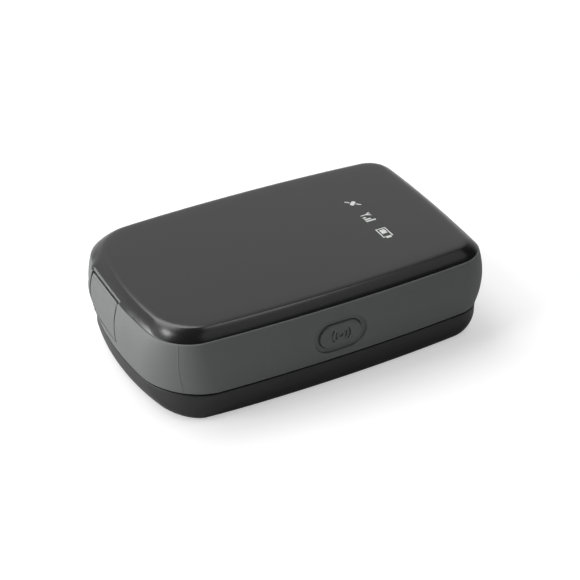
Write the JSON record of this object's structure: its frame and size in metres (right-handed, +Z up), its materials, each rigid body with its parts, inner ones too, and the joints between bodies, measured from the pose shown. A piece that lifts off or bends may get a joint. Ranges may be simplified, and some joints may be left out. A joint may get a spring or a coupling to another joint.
{
  "type": "gps tracker",
  "caption": "Pocket GPS tracker with a three-part rounded case, alarm and power buttons, a hinged port flap and its board, aerials and battery inside.",
  "frame": {"origin": "centre of the resting face, under the middle of the case", "axes": "+X along the case towards the icons, -X to the port flap, -Y out of the alarm button, +Z up"},
  "size_m": [0.077, 0.048, 0.021],
  "materials": {
    "cover_black": "satin moulded",
    "shell_black": "satin moulded",
    "band_grey": "soft-touch",
    "flap_grey": "matt rubber",
    "button_grey": "matt rubber",
    "seal_black": "matt",
    "screw_steel": "zinc plated",
    "icon_white": "translucent white",
    "clear_guide": "clear moulded",
    "led_white": "moulded",
    "board_green": "solder mask",
    "tin": "tinned",
    "black_nylon": "moulded",
    "chip_black": "epoxy",
    "chip_ceramic": "fired",
    "gold": "gold plated",
    "ceramic_tan": "fired ceramic",
    "silver": "silvered",
    "nylon_white": "moulded",
    "card_white": "smooth",
    "cell_foil": "laminated foil",
    "foam_black": "foam tape",
    "lead_red": "insulation",
    "lead_black": "insulation"
  },
  "bodies": {
    "case": {"top_cover": "cover_black", "side_band": "band_grey", "bottom_shell": "shell_black", "case_gasket": "seal_black", "case_screws": "screw_steel", "sos_switch_body": "black_nylon", "power_switch_body": "black_nylon", "gps_icon_lens": "icon_white", "signal_icon_lens": "icon_white", "battery_icon_lens": "icon_white", "light_guide": "clear_guide", "status_leds": "led_white", "circuit_board": "board_green", "board_screws": "screw_steel", "usb_socket_shell": "tin", "usb_tongue": "black_nylon", "usb_contacts": "gold", "gps_antenna": "ceramic_tan", "gps_antenna_feed": "silver", "gps_receiver": "tin", "cell_module_base": "board_green", "cell_module_can": "tin", "cell_antenna": "gold", "processor": "chip_black", "motion_sensor": "chip_black", "chip_parts": "chip_ceramic", "sim_holder": "tin", "sim_card": "card_white", "battery_pad": "foam_black", "battery_cell": "cell_foil", "battery_guard_board": "board_green", "battery_header": "nylon_white", "battery_plug": "nylon_white", "battery_lead_red": "lead_red", "battery_lead_black": "lead_black"},
    "sos_button": {"sos_button": "button_grey", "sos_switch_plunger": "nylon_white"},
    "power_button": {"power_button": "button_grey", "power_switch_plunger": "nylon_white"},
    "port_flap": {"port_flap": "flap_grey"}
  },
  "joints": [
    {"name": "sos_press", "type": "slide", "parent": "case", "child": "sos_button", "axis": [0, 1, 0], "range_m": [0, 0.0006], "stiffness_N_per_m": 4000},
    {"name": "power_press", "type": "slide", "parent": "case", "child": "power_button", "axis": [0, -1, 0], "range_m": [0, 0.0004], "stiffness_N_per_m": 4000},
    {"name": "flap_hinge", "type": "hinge", "parent": "case", "child": "port_flap", "pos_m": [-0.0377, 0.0042, 0.01055], "axis": [0, -1, 0], "range_deg": [0, 110]}
  ]
}
